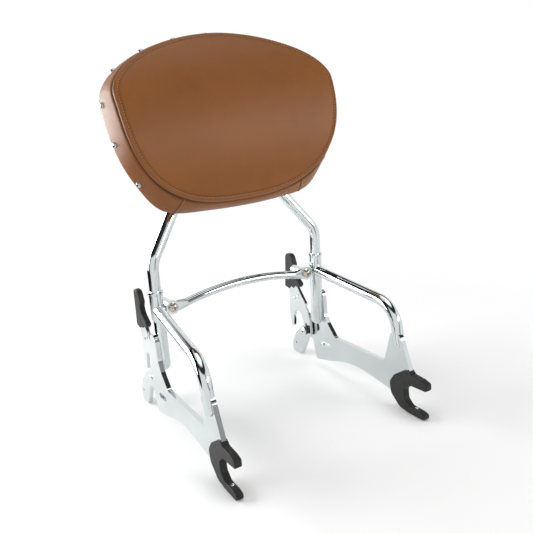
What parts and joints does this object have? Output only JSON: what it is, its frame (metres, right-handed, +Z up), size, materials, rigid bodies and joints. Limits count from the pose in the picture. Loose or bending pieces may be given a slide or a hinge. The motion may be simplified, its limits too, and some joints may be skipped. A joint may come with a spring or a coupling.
{
  "type": "motorcycle passenger backrest with pad",
  "caption": "Detachable passenger backrest: studded leather pad on a bent hoop, chrome braces, docking side plates with forks, hooks and lever latches.",
  "frame": {"origin": "middle plane, half way along the length, on the plane that the forks and hooks stand on", "axes": "+X to the right of the rider, +Y to the rear, +Z up"},
  "size_m": [0.3414, 0.3342, 0.5293],
  "materials": {
    "chrome": "polished chrome plate",
    "black_rubber": "satin moulded rubber",
    "black_plastic": "fine grained black plastic",
    "black_steel": "satin black coat",
    "zinc_steel": "zinc plated",
    "tan_leather": "smooth satin saddle leather"
  },
  "bodies": {
    "frame": {"right_side_plate": "chrome", "right_fork_cover": "black_rubber", "right_cover_rivets": "chrome", "right_pivot_bolt": "chrome", "right_pivot_washer": "black_plastic", "right_collar": "chrome", "right_rear_leg": "chrome", "right_brace": "chrome", "right_bar_boss": "chrome", "right_latch_spring": "black_steel", "left_side_plate": "chrome", "left_fork_cover": "black_rubber", "left_cover_rivets": "chrome", "left_pivot_bolt": "chrome", "left_pivot_washer": "black_plastic", "left_collar": "chrome", "left_rear_leg": "chrome", "left_brace": "chrome", "left_bar_boss": "chrome", "left_latch_spring": "black_steel", "hoop": "chrome", "cross_bar": "chrome", "bar_bolts": "chrome", "pad_cushion": "tan_leather", "pad_board": "black_plastic", "pad_bracket": "black_steel", "pad_washers": "zinc_steel", "pad_screws": "zinc_steel", "pad_studs": "chrome"},
    "right_latch": {"right_latch_plate": "chrome", "right_latch_grip": "black_rubber", "right_grip_screws": "chrome"},
    "left_latch": {"left_latch_plate": "chrome", "left_latch_grip": "black_rubber", "left_grip_screws": "chrome"}
  },
  "joints": [
    {"name": "right_latch_turn", "type": "hinge", "parent": "frame", "child": "right_latch", "pos_m": [0.1322, 0.1048, 0.057], "axis": [-1, 0, 0], "range_deg": [0, 80], "stiffness_Nm_per_rad": 0.35, "springref_deg": -34.38},
    {"name": "left_latch_turn", "type": "hinge", "parent": "frame", "child": "left_latch", "pos_m": [-0.1322, 0.1048, 0.057], "axis": [-1, 0, 0], "range_deg": [0, 80], "stiffness_Nm_per_rad": 0.35, "springref_deg": -34.38}
  ]
}
